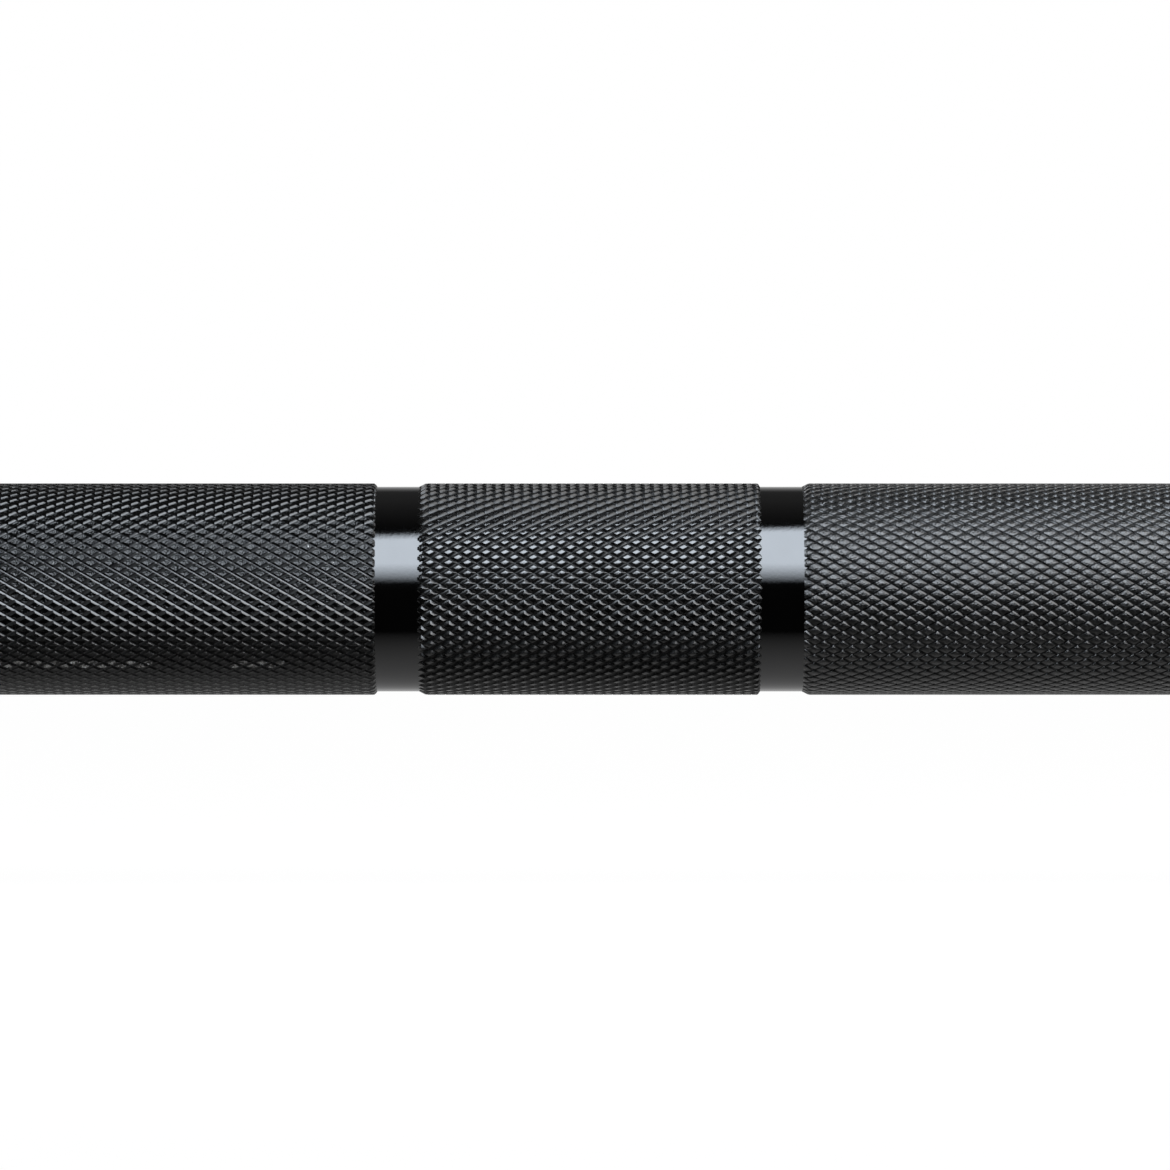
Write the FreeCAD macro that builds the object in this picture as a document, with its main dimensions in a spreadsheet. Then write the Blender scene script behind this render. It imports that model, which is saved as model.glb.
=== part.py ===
import FreeCAD, Part
import os

# Olympic barbell. A solid steel shaft carries a free-turning sleeve on each end.
# The bar lies along X with its middle at the origin and Z up. All lengths are in millimetres.
# Each sleeve runs on two bronze bushings and two drawn-cup needle bearings. A thrust washer on the
# shaft's shoulder stops it moving in, and a washer behind a snap ring stops it sliding off.

# Driving sizes. Every other size and place is an expression of these.
SIZES = {
    # Shaft, from the middle outward
    "grip_length": 1310.0,
    "plain_diameter": 28.0,
    "knurl_rise": 0.15,
    "mark_depth": 0.3,
    "mark_width": 5.6,
    "inner_mark_span": 810.8,
    "mark_spacing": 51.2,
    "inner_knurl_length": 200.0,
    "knurl_gap_at_collar": 12.0,
    "knurl_run_in": 0.9,
    "knurl_run_out": 0.3,
    "shoulder_inset": 8.0,
    "shoulder_height": 1.5,
    "shaft_end_chamfer": 1.0,
    "shaft_end_land": 4.0,
    "shaft_end_gap": 2.0,
    # Sleeve and collar
    "sleeve_wall": 9.0,
    "load_length": 415.0,
    "sleeve_end_chamfer": 2.0,
    "root_groove_width": 1.5,
    "root_groove_depth": 0.5,
    "relief_step": 1.0,
    "collar_width": 30.0,
    "collar_height": 14.0,
    "collar_chamfer": 1.5,
    "collar_band_width": 9.0,
    "collar_band_depth": 1.2,
    # Bearings
    "bearing_section": 3.5,
    "bearing_length": 20.0,
    "bearing_gap": 0.5,
    "cup_wall": 1.0,
    "cup_lip_clearance": 0.8,
    "cage_clearance": 0.5,
    "cage_end_play": 0.2,
    "cage_rim": 1.3,
    "roller_count": 18,
    "roller_clearance": 0.02,
    "roller_end_play": 0.1,
    "window_clearance": 0.05,
    # Bushings, washers and seal
    "bushing_length": 28.0,
    "bushing_clearance": 0.05,
    "bushing_chamfer": 0.6,
    "washer_thickness": 2.0,
    "washer_clearance": 0.05,
    "washer_rim_clearance": 0.3,
    "end_float": 0.3,
    "seal_inset": 0.8,
    "seal_width": 5.0,
    "seal_clearance": 0.15,
    "seal_lip_width": 1.2,
    "seal_lip_depth": 0.9,
    # Snap ring on the shaft
    "shaft_ring_thickness": 1.2,
    "shaft_ring_width": 3.0,
    "shaft_groove_depth": 0.55,
    "groove_play": 0.1,
    "ring_seat_clearance": 0.03,
    "shaft_ring_gap": 3.0,
    "shaft_lug_radius": 1.9,
    "shaft_lug_hole_radius": 1.0,
    # End cap and its retaining ring
    "cap_step": 4.0,
    "cap_thickness": 6.0,
    "cap_clearance": 0.05,
    "cap_chamfer": 0.6,
    "cap_boss_radius": 12.5,
    "cap_boss_height": 1.5,
    "cap_boss_chamfer": 0.8,
    "spigot_length": 4.0,
    "cap_ring_inset": 3.0,
    "cap_ring_thickness": 1.75,
    "cap_ring_width": 3.4,
    "cap_groove_depth": 1.25,
    "cap_ring_gap": 8.0,
    "cap_lug_radius": 2.6,
    "cap_lug_hole_radius": 1.25,
    # How far a cutting shape runs past the material that it cuts
    "overrun": 1.0,
}

doc = FreeCAD.newDocument("Barbell")
sheet = doc.addObject("Spreadsheet::Sheet", "Sizes")
for row, (alias, value) in enumerate(SIZES.items(), start=1):
    sheet.set(f"A{row}", alias)
    sheet.set(f"B{row}", str(value))
    sheet.setAlias(f"B{row}", alias)
doc.recompute()

# Radii, from the shaft outward
PLAIN_R = "(Sizes.plain_diameter / 2)"
KNURL_R = f"({PLAIN_R} + Sizes.knurl_rise)"
MARK_R = f"({PLAIN_R} - Sizes.mark_depth)"
JOURNAL_R = f"({PLAIN_R} - Sizes.shoulder_height)"
SEAT_R = f"({JOURNAL_R} + Sizes.bearing_section)"
RELIEF_R = f"({SEAT_R} - Sizes.relief_step)"
RACE_R = f"({SEAT_R} - Sizes.cup_wall)"
SLEEVE_R = f"({SEAT_R} + Sizes.sleeve_wall)"
COLLAR_R = f"({SLEEVE_R} + Sizes.collar_height)"
CAP_R = f"({SEAT_R} + Sizes.cap_step)"
CAP_GROOVE_R = f"({CAP_R} + Sizes.cap_groove_depth)"
SHAFT_GROOVE_R = f"({JOURNAL_R} - Sizes.shaft_groove_depth)"

# Places along the shaft, from the middle to the collar
INNER_MARK = "(Sizes.inner_mark_span / 2)"
OUTER_MARK = f"({INNER_MARK} + Sizes.mark_spacing)"
HALF_MARK = "(Sizes.mark_width / 2)"
KNURL_START = f"({INNER_MARK} - Sizes.inner_knurl_length)"
GRIP_FACE = "(Sizes.grip_length / 2)"
KNURL_END = f"({GRIP_FACE} - Sizes.knurl_gap_at_collar)"

# Places inside the sleeve's inner end
SHOULDER = f"({GRIP_FACE} + Sizes.shoulder_inset)"
INNER_BUSHING = f"({SHOULDER} + Sizes.washer_thickness + Sizes.end_float)"
INNER_BEARING = f"({INNER_BUSHING} + Sizes.bushing_length + Sizes.bearing_gap)"
INNER_SEAT_END = f"({INNER_BEARING} + Sizes.bearing_length)"

# Places inside the sleeve's outer end, from its end face inward
COLLAR_FACE = f"({GRIP_FACE} + Sizes.collar_width)"
SLEEVE_END = f"({COLLAR_FACE} + Sizes.load_length)"
CAP_RING_OUT = f"({SLEEVE_END} - Sizes.cap_ring_inset)"
CAP_FACE = f"({CAP_RING_OUT} - Sizes.cap_ring_thickness)"
CAP_SEAT = f"({CAP_FACE} - Sizes.cap_thickness)"
SPIGOT_END = f"({CAP_SEAT} - Sizes.spigot_length)"
SHAFT_END = f"({SPIGOT_END} - Sizes.shaft_end_gap)"
SNAP_OUT = f"({SHAFT_END} - Sizes.shaft_end_land)"
SNAP_IN = f"({SNAP_OUT} - Sizes.shaft_ring_thickness)"
OUTER_WASHER = f"({SNAP_IN} - Sizes.washer_thickness)"
OUTER_BUSHING = f"({OUTER_WASHER} - Sizes.end_float - Sizes.bushing_length)"
OUTER_BEARING = f"({OUTER_BUSHING} - Sizes.bearing_gap - Sizes.bearing_length)"

Z_AXIS = FreeCAD.Vector(0, 0, 1)
Y_AXIS = FreeCAD.Vector(0, 1, 0)
ALONG_X = FreeCAD.Rotation(Y_AXIS, 90)
# The left end is the right end turned half a turn about Z
SIDES = {"right": FreeCAD.Rotation(), "left": FreeCAD.Rotation(Z_AXIS, 180)}

pieces = {}


def number(expression):
    """The present value of an expression of the sheet's cells."""
    return float(sheet.evalExpression(expression))


def origin_plane(body, role):
    """One of a body's own origin planes."""
    return next(f for f in body.Origin.OriginFeatures if f.Role == role)


def keep(piece, label, rotation=FreeCAD.Rotation()):
    """Names a finished piece, turns it to its side of the bar and lists it for export."""
    piece.Label = label
    piece.Placement = FreeCAD.Placement(FreeCAD.Vector(), rotation)
    pieces[label] = piece


def sketch_on(body, role, name):
    """A new sketch on one of the body's origin planes."""
    sketch = body.newObject("Sketcher::SketchObject", name)
    sketch.AttachmentSupport = [(origin_plane(body, role), "")]
    sketch.MapMode = "FlatFace"
    return sketch


def bind(sketch, constraint, name, expression):
    """Adds a named dimension to a sketch and ties it to the sheet."""
    index = sketch.addConstraint(constraint)
    sketch.renameConstraint(index, name)
    sketch.setExpression(f"Constraints.{name}", expression)


def draw_outline(sketch, outline):
    """A closed outline through (along, across) points, each held by two dimensions from the origin."""
    import Sketcher

    root, root_start, x_axis, y_axis = -1, 1, -1, -2
    points = [FreeCAD.Vector(number(a), number(b), 0) for a, b in outline]
    lines = []
    for here, there in zip(points, points[1:] + points[:1]):
        lines.append(sketch.addGeometry(Part.LineSegment(here, there), False))
    for line, following in zip(lines, lines[1:] + lines[:1]):
        sketch.addConstraint(Sketcher.Constraint("Coincident", line, 2, following, 1))
    for line, point, (along, across) in zip(lines, points, outline):
        if along == "0":
            sketch.addConstraint(Sketcher.Constraint("PointOnObject", line, 1, y_axis))
        else:
            distance = Sketcher.Constraint("DistanceX", root, root_start, line, 1, point.x)
            bind(sketch, distance, f"along_{line}", along)
        if across == "0":
            sketch.addConstraint(Sketcher.Constraint("PointOnObject", line, 1, x_axis))
        else:
            distance = Sketcher.Constraint("DistanceY", root, root_start, line, 1, point.y)
            bind(sketch, distance, f"across_{line}", across)


def turned(name, outline):
    """A body turned about the bar's axis from an outline of (place along the bar, radius) points."""
    body = doc.addObject("PartDesign::Body", name)
    sketch = sketch_on(body, "XY_Plane", f"{name}_outline")
    draw_outline(sketch, outline)
    turn = body.newObject("PartDesign::Revolution", f"{name}_turn")
    turn.Profile = sketch
    turn.ReferenceAxis = (sketch, ["H_Axis"])
    turn.Angle = 360
    body.Tip = turn
    doc.recompute()
    return body


def rod(name, radius, start, length, across="0", up="0"):
    """A plain cylinder along X, for washers and rings."""
    cylinder = doc.addObject("Part::Cylinder", name)
    cylinder.setExpression("Radius", radius)
    cylinder.setExpression("Height", length)
    cylinder.Placement = FreeCAD.Placement(FreeCAD.Vector(), ALONG_X)
    cylinder.setExpression("Placement.Base.x", start)
    cylinder.setExpression("Placement.Base.y", across)
    cylinder.setExpression("Placement.Base.z", up)
    return cylinder


def joined(kind, name, base, tool):
    """A boolean of two shapes: Part::Cut, Part::Fuse or Part::Common."""
    result = doc.addObject(kind, name)
    result.Base = base
    result.Tool = tool
    return result


def ring_blank(name, inner, outer, start, length):
    """A flat ring along X, cut a little past both faces."""
    past = "Sizes.overrun"
    disc = rod(f"{name}_disc", outer, start, length)
    hole = rod(f"{name}_hole", inner, f"{start} - {past}", f"{length} + 2 * {past}")
    return joined("Part::Cut", f"{name}_ring", disc, hole)


def mark_points(place):
    """The outline of one smooth ring mark between two knurled zones."""
    return [
        (f"{place} - {HALF_MARK} - Sizes.knurl_run_out", KNURL_R),
        (f"{place} - {HALF_MARK}", MARK_R),
        (f"{place} + {HALF_MARK}", MARK_R),
        (f"{place} + {HALF_MARK} + Sizes.knurl_run_in", KNURL_R),
    ]


def make_shaft():
    """The solid shaft: plain middle, knurled zones parted by ring marks, and a turned-down journal."""
    outline = [
        ("0", "0"),
        ("0", PLAIN_R),
        (KNURL_START, PLAIN_R),
        (f"{KNURL_START} + Sizes.knurl_run_in", KNURL_R),
        *mark_points(INNER_MARK),
        *mark_points(OUTER_MARK),
        (f"{KNURL_END} - Sizes.knurl_run_out", KNURL_R),
        (KNURL_END, PLAIN_R),
        (SHOULDER, PLAIN_R),
        (SHOULDER, JOURNAL_R),
        (f"{SNAP_IN} - Sizes.groove_play", JOURNAL_R),
        (f"{SNAP_IN} - Sizes.groove_play", SHAFT_GROOVE_R),
        (SNAP_OUT, SHAFT_GROOVE_R),
        (SNAP_OUT, JOURNAL_R),
        (f"{SHAFT_END} - Sizes.shaft_end_chamfer", JOURNAL_R),
        (SHAFT_END, f"{JOURNAL_R} - Sizes.shaft_end_chamfer"),
        (SHAFT_END, "0"),
    ]
    body = turned("shaft", outline)
    mirror = body.newObject("PartDesign::Mirrored", "shaft_other_half")
    mirror.Originals = [body.Tip]
    mirror.MirrorPlane = (origin_plane(body, "YZ_Plane"), [""])
    body.Tip = mirror
    keep(body, "shaft")


def make_sleeve_tube(side, rotation):
    """The tube that plates slide on, bored from both ends, with a relief groove beside the collar."""
    outline = [
        (GRIP_FACE, SEAT_R),
        (INNER_SEAT_END, SEAT_R),
        (INNER_SEAT_END, RELIEF_R),
        (OUTER_BEARING, RELIEF_R),
        (OUTER_BEARING, SEAT_R),
        (CAP_SEAT, SEAT_R),
        (CAP_SEAT, CAP_R),
        (CAP_FACE, CAP_R),
        (CAP_FACE, CAP_GROOVE_R),
        (f"{CAP_RING_OUT} + Sizes.groove_play", CAP_GROOVE_R),
        (f"{CAP_RING_OUT} + Sizes.groove_play", CAP_R),
        (SLEEVE_END, CAP_R),
        (SLEEVE_END, f"{SLEEVE_R} - Sizes.sleeve_end_chamfer"),
        (f"{SLEEVE_END} - Sizes.sleeve_end_chamfer", SLEEVE_R),
        (f"{COLLAR_FACE} + Sizes.root_groove_width", SLEEVE_R),
        (f"{COLLAR_FACE} + Sizes.root_groove_width", f"{SLEEVE_R} - Sizes.root_groove_depth"),
        (COLLAR_FACE, f"{SLEEVE_R} - Sizes.root_groove_depth"),
        (COLLAR_FACE, SLEEVE_R),
        (GRIP_FACE, SLEEVE_R),
    ]
    keep(turned(f"{side}_tube", outline), f"{side}_sleeve_tube", rotation)


def make_collar(side, rotation):
    """The flange that plates stop against, shrunk on the tube, with a turned band round its rim."""
    chamfer = "Sizes.collar_chamfer"
    middle = f"({GRIP_FACE} + Sizes.collar_width / 2)"
    half_band = "(Sizes.collar_band_width / 2)"
    band_r = f"({COLLAR_R} - Sizes.collar_band_depth)"
    slope = "Sizes.collar_band_depth"
    outline = [
        (GRIP_FACE, SLEEVE_R),
        (GRIP_FACE, f"{COLLAR_R} - {chamfer}"),
        (f"{GRIP_FACE} + {chamfer}", COLLAR_R),
        (f"{middle} - {half_band} - {slope}", COLLAR_R),
        (f"{middle} - {half_band}", band_r),
        (f"{middle} + {half_band}", band_r),
        (f"{middle} + {half_band} + {slope}", COLLAR_R),
        (f"{COLLAR_FACE} - {chamfer}", COLLAR_R),
        (COLLAR_FACE, f"{COLLAR_R} - {chamfer}"),
        (COLLAR_FACE, SLEEVE_R),
    ]
    keep(turned(f"{side}_flange", outline), f"{side}_collar", rotation)


def make_dust_seal(side, rotation):
    """The rubber ring that keeps chalk out of the inner bushing, with a lip towards the shaft."""
    start = f"({GRIP_FACE} + Sizes.seal_inset)"
    end = f"({start} + Sizes.seal_width)"
    lip_r = f"({PLAIN_R} + Sizes.seal_clearance)"
    body_r = f"({lip_r} + Sizes.seal_lip_depth)"
    outline = [
        (start, SEAT_R),
        (start, lip_r),
        (f"{start} + Sizes.seal_lip_width", lip_r),
        (f"{start} + 2 * Sizes.seal_lip_width", body_r),
        (end, body_r),
        (end, SEAT_R),
    ]
    keep(turned(f"{side}_seal", outline), f"{side}_dust_seal", rotation)


def make_bushing(side, rotation, place, start):
    """A bronze bush pressed in the sleeve, with chamfered mouths and a running bore on the journal."""
    chamfer = "Sizes.bushing_chamfer"
    end = f"({start} + Sizes.bushing_length)"
    bore_r = f"({JOURNAL_R} + Sizes.bushing_clearance)"
    outline = [
        (start, f"{bore_r} + {chamfer}"),
        (start, f"{SEAT_R} - {chamfer}"),
        (f"{start} + {chamfer}", SEAT_R),
        (f"{end} - {chamfer}", SEAT_R),
        (end, f"{SEAT_R} - {chamfer}"),
        (end, f"{bore_r} + {chamfer}"),
        (f"{end} - {chamfer}", bore_r),
        (f"{start} + {chamfer}", bore_r),
    ]
    keep(turned(f"{side}_{place}_bush", outline), f"{side}_{place}_bushing", rotation)


def make_washer(side, rotation, place, start):
    """A thrust washer on the journal."""
    inner = f"{JOURNAL_R} + Sizes.washer_clearance"
    outer = f"{SEAT_R} - Sizes.washer_rim_clearance"
    washer = ring_blank(f"{side}_{place}_washer", inner, outer, start, "Sizes.washer_thickness")
    keep(washer, f"{side}_{place}_thrust_washer", rotation)


def make_bearing_cup(side, rotation, place, start):
    """The drawn steel cup of a needle bearing, with a lip turned in at each end."""
    wall = "Sizes.cup_wall"
    end = f"({start} + Sizes.bearing_length)"
    lip_r = f"({JOURNAL_R} + Sizes.cup_lip_clearance)"
    outline = [
        (start, lip_r),
        (start, SEAT_R),
        (end, SEAT_R),
        (end, lip_r),
        (f"{end} - {wall}", lip_r),
        (f"{end} - {wall}", RACE_R),
        (f"{start} + {wall}", RACE_R),
        (f"{start} + {wall}", lip_r),
    ]
    keep(turned(f"{side}_{place}_cup", outline), f"{side}_{place}_bearing_cup", rotation)


def around_bar(body, feature, name):
    """Repeats a feature round the bar's axis, once for each needle roller."""
    pattern = body.newObject("PartDesign::PolarPattern", name)
    pattern.Originals = [feature]
    pattern.Axis = (feature.Profile[0], ["H_Axis"])
    pattern.Angle = 360
    pattern.setExpression("Occurrences", "Sizes.roller_count")
    body.Tip = pattern
    doc.recompute()


CAGE_START_OFFSET = "(Sizes.cup_wall + Sizes.cage_end_play)"
ROLLER_R = f"(({RACE_R} - {JOURNAL_R}) / 2 - Sizes.roller_clearance)"
ROLLER_PITCH_R = f"(({RACE_R} + {JOURNAL_R}) / 2)"


def make_bearing_cage(side, rotation, place, start):
    """The steel cage of a needle bearing: a thin ring with one window for each roller."""
    first = f"({start} + {CAGE_START_OFFSET})"
    last = f"({start} + Sizes.bearing_length - {CAGE_START_OFFSET})"
    inner_r = f"({JOURNAL_R} + Sizes.cage_clearance)"
    outer_r = f"({RACE_R} - Sizes.cage_clearance)"
    half_window = f"({ROLLER_R} + Sizes.window_clearance)"
    body = turned(
        f"{side}_{place}_cage",
        [(first, inner_r), (first, outer_r), (last, outer_r), (last, inner_r)],
    )
    window = sketch_on(body, "XY_Plane", f"{side}_{place}_window")
    window_start = f"{first} + Sizes.cage_rim"
    window_end = f"{last} - Sizes.cage_rim"
    draw_outline(
        window,
        [
            (window_start, f"-{half_window}"),
            (window_end, f"-{half_window}"),
            (window_end, half_window),
            (window_start, half_window),
        ],
    )
    cut = body.newObject("PartDesign::Pocket", f"{side}_{place}_window_cut")
    cut.Profile = window
    cut.setExpression("Length", f"{outer_r} + Sizes.overrun")
    body.Tip = cut
    doc.recompute()
    around_bar(body, cut, f"{side}_{place}_windows")
    keep(body, f"{side}_{place}_bearing_cage", rotation)


def make_bearing_rollers(side, rotation, place, start):
    """The needle rollers of one bearing, each a solid of its own in its cage window."""
    margin = f"({CAGE_START_OFFSET} + Sizes.cage_rim + Sizes.roller_end_play)"
    first = f"({start} + {margin})"
    last = f"({start} + Sizes.bearing_length - {margin})"
    body = doc.addObject("PartDesign::Body", f"{side}_{place}_needles")
    body.AllowCompound = True
    # Half a roller's outline, turned about the roller's own axis above the bar
    sketch = sketch_on(body, "XZ_Plane", f"{side}_{place}_needle_outline")
    draw_outline(
        sketch,
        [
            (first, ROLLER_PITCH_R),
            (last, ROLLER_PITCH_R),
            (last, f"{ROLLER_PITCH_R} + {ROLLER_R}"),
            (first, f"{ROLLER_PITCH_R} + {ROLLER_R}"),
        ],
    )
    needle = body.newObject("PartDesign::Revolution", f"{side}_{place}_needle")
    needle.Profile = sketch
    needle.ReferenceAxis = (sketch, ["Edge1"])
    needle.Angle = 360
    body.Tip = needle
    doc.recompute()
    around_bar(body, needle, f"{side}_{place}_needle_row")
    keep(body, f"{side}_{place}_bearing_rollers", rotation)


def with_lugs(name, blank, sizes, lug_place_r):
    """A retaining ring: its blank with two drilled lugs beside an open gap at the top."""
    start, length, lug_r, hole_r, gap = sizes
    past = "Sizes.overrun"
    across = f"({gap} / 2 + {lug_r})"
    reach = f"sqrt({lug_place_r} * {lug_place_r} - {across} * {across})"
    ring = blank
    for hand, sign in (("front", "-"), ("back", "")):
        lug = rod(f"{name}_{hand}_lug", lug_r, start, length, f"{sign}{across}", reach)
        ring = joined("Part::Fuse", f"{name}_{hand}", ring, lug)
    slot = doc.addObject("Part::Box", f"{name}_gap")
    slot.setExpression("Length", f"{length} + 2 * {past}")
    slot.setExpression("Width", gap)
    slot.setExpression("Height", f"{CAP_GROOVE_R} + {past}")
    slot.setExpression("Placement.Base.x", f"{start} - {past}")
    slot.setExpression("Placement.Base.y", f"-{gap} / 2")
    ring = joined("Part::Cut", f"{name}_open", ring, slot)
    for hand, sign in (("front", "-"), ("back", "")):
        drill = rod(
            f"{name}_{hand}_drill",
            hole_r,
            f"{start} - {past}",
            f"{length} + 2 * {past}",
            f"{sign}{across}",
            reach,
        )
        ring = joined("Part::Cut", f"{name}_{hand}_drilled", ring, drill)
    return ring


def make_shaft_snap_ring(side, rotation):
    """The spring-steel snap ring in the journal's groove, with its lugs outside the ring."""
    name = f"{side}_snap"
    thickness = "Sizes.shaft_ring_thickness"
    inner_r = f"({SHAFT_GROOVE_R} + Sizes.ring_seat_clearance)"
    outer_r = f"({inner_r} + Sizes.shaft_ring_width)"
    lug_r = "Sizes.shaft_lug_radius"
    blank = ring_blank(name, inner_r, outer_r, SNAP_IN, thickness)
    sizes = (SNAP_IN, thickness, lug_r, "Sizes.shaft_lug_hole_radius", "Sizes.shaft_ring_gap")
    ring = with_lugs(name, blank, sizes, f"({outer_r} - Sizes.shaft_ring_width / 2)")
    past = "Sizes.overrun"
    groove = rod(f"{name}_groove", inner_r, f"{SNAP_IN} - {past}", f"{thickness} + 2 * {past}")
    ring = joined("Part::Cut", f"{name}_seated", ring, groove)
    keep(ring, f"{side}_shaft_snap_ring", rotation)


def make_end_cap(side, rotation):
    """The plain cap that closes the sleeve, with a spigot in the bearing bore and a raised middle."""
    rim_r = f"({CAP_R} - Sizes.cap_clearance)"
    spigot_r = f"({SEAT_R} - Sizes.cap_clearance)"
    chamfer = "Sizes.cap_chamfer"
    boss_chamfer = "Sizes.cap_boss_chamfer"
    boss_face = f"({CAP_FACE} + Sizes.cap_boss_height)"
    outline = [
        (SPIGOT_END, "0"),
        (SPIGOT_END, f"{spigot_r} - {chamfer}"),
        (f"{SPIGOT_END} + {chamfer}", spigot_r),
        (CAP_SEAT, spigot_r),
        (CAP_SEAT, rim_r),
        (CAP_FACE, rim_r),
        (CAP_FACE, "Sizes.cap_boss_radius"),
        (f"{boss_face} - {boss_chamfer}", "Sizes.cap_boss_radius"),
        (boss_face, f"Sizes.cap_boss_radius - {boss_chamfer}"),
        (boss_face, "0"),
    ]
    keep(turned(f"{side}_cap", outline), f"{side}_end_cap", rotation)


def make_end_cap_ring(side, rotation):
    """The spring-steel ring in the sleeve's groove that holds the end cap, with its lugs inside."""
    name = f"{side}_cap_ring"
    thickness = "Sizes.cap_ring_thickness"
    outer_r = f"({CAP_GROOVE_R} - Sizes.ring_seat_clearance)"
    inner_r = f"({outer_r} - Sizes.cap_ring_width)"
    lug_r = "Sizes.cap_lug_radius"
    blank = ring_blank(name, inner_r, outer_r, CAP_FACE, thickness)
    sizes = (CAP_FACE, thickness, lug_r, "Sizes.cap_lug_hole_radius", "Sizes.cap_ring_gap")
    ring = with_lugs(name, blank, sizes, inner_r)
    seat = rod(f"{name}_seat", outer_r, CAP_FACE, thickness)
    ring = joined("Part::Common", f"{name}_seated", ring, seat)
    keep(ring, f"{side}_end_cap_ring", rotation)


make_shaft()
for side, rotation in SIDES.items():
    make_sleeve_tube(side, rotation)
    make_collar(side, rotation)
    make_dust_seal(side, rotation)
    make_washer(side, rotation, "inner", SHOULDER)
    make_bushing(side, rotation, "inner", INNER_BUSHING)
    for place, start in (("inner", INNER_BEARING), ("outer", OUTER_BEARING)):
        make_bearing_cup(side, rotation, place, start)
        make_bearing_cage(side, rotation, place, start)
        make_bearing_rollers(side, rotation, place, start)
    make_bushing(side, rotation, "outer", OUTER_BUSHING)
    make_washer(side, rotation, "outer", OUTER_WASHER)
    make_shaft_snap_ring(side, rotation)
    make_end_cap(side, rotation)
    make_end_cap_ring(side, rotation)
doc.recompute()

# Nothing is written unless every object computed and every piece is a valid solid
failed = [o.Label for o in doc.Objects if {"Invalid", "Error"} & set(o.State)]
failed += [label for label, p in pieces.items() if p.Shape.isNull() or not p.Shape.isValid()]
if failed:
    raise SystemExit(f"these did not build: {failed}")

os.makedirs("parts", exist_ok=True)
for label, piece in pieces.items():
    piece.Shape.exportStep(f"parts/{label}.step")
    print(f"{label}: {len(piece.Shape.Solids)} solids, {piece.Shape.Volume:.1f} mm3")
print(f"{len(pieces)} pieces")
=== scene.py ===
# %% [markdown]
# # An olympic barbell
# The photograph is a close look at one hand's stretch of a black bar: three knurled zones parted by
# two smooth ring marks. The measured solids are loaded first, and every piece below sits in their
# frame, in metres. The bar lies along X, Z is up, and the camera stands on the -Y side.

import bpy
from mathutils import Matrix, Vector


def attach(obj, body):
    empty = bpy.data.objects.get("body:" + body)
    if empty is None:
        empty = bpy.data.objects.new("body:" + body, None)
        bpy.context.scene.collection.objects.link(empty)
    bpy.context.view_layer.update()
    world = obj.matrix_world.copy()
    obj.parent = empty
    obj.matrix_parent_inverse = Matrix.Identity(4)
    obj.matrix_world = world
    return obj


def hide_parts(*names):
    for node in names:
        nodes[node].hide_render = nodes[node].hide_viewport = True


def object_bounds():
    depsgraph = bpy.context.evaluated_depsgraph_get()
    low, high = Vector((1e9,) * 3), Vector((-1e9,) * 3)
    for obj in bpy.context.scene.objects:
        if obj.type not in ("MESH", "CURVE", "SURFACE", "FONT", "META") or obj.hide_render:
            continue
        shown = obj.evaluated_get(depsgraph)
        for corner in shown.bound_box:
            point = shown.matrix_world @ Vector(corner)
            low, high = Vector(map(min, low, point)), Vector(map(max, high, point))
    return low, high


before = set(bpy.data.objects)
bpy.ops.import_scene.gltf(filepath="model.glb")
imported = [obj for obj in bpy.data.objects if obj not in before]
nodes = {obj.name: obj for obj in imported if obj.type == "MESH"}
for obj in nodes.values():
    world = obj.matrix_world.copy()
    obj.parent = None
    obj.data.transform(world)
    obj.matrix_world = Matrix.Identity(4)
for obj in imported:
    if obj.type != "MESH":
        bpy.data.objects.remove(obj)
cad_box = [list(corner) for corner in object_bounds()]
print("solids:", len(nodes), "box:", cad_box)

# %% [markdown]
# ## The main sizes
# A maker's drawing gives a bar in millimetres, so the sizes are written that way and turned into
# metres once. They are the same as those of the solids.

# %% Main sizes
import math

import bmesh
import bpy
import numpy as np
from mathutils import Matrix

MM = 0.001
COLLAR_FACE = 685 * MM
SLEEVE_END = 1100 * MM
SHAFT_END = 1083.25 * MM
PLAIN_R = 14 * MM
KNURL_R = 14.15 * MM
MARK_R = 13.7 * MM
HALF_MARK = 2.8 * MM
INNER_MARK = 405.4 * MM
OUTER_MARK = 456.6 * MM
KNURL_START = 205.4 * MM
KNURL_END = 643 * MM

# %% [markdown]
# ## The camera
# In the photograph the bar is square to the lens and nearly without perspective, so a long lens
# stands well back. The ring marks look slightly bowed, which puts the lens about a metre away. The
# frame is 156 mm wide there.

# %% Camera
PHOTO_PIXELS = 1170
PIXELS_PER_M = 7468
CAMERA_DISTANCE = 1.03
CLIP_START = 0.05
SENSOR_MM = 36
AXIS_ROW = 589.1
INNER_MARK_COLUMN = 398.4

frame_width = PHOTO_PIXELS / PIXELS_PER_M
centre_x = INNER_MARK + (PHOTO_PIXELS / 2 - INNER_MARK_COLUMN) / PIXELS_PER_M
centre_z = (AXIS_ROW - PHOTO_PIXELS / 2) / PIXELS_PER_M

camera_data = bpy.data.cameras.new("camera")
camera_data.sensor_width = SENSOR_MM
camera_data.lens = SENSOR_MM * CAMERA_DISTANCE / frame_width
camera_data.clip_start = CLIP_START
camera = bpy.data.objects.new("camera", camera_data)
camera.location = (centre_x, -CAMERA_DISTANCE, centre_z)
camera.rotation_euler = (math.radians(90), 0, 0)
bpy.context.scene.collection.objects.link(camera)
bpy.context.scene.camera = camera
print("lens", round(camera_data.lens, 1), "mm, looking at x =", round(centre_x, 4))

# %% [markdown]
# ## Turning pieces
# Nearly everything on a bar is made on a lathe. A turned piece is half its outline, drawn as a
# wire, with its corners rounded, and spun about the bar's axis. Blender's spin does what the lathe
# does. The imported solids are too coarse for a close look, so the pieces that show are turned again
# here with many more steps.

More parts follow.
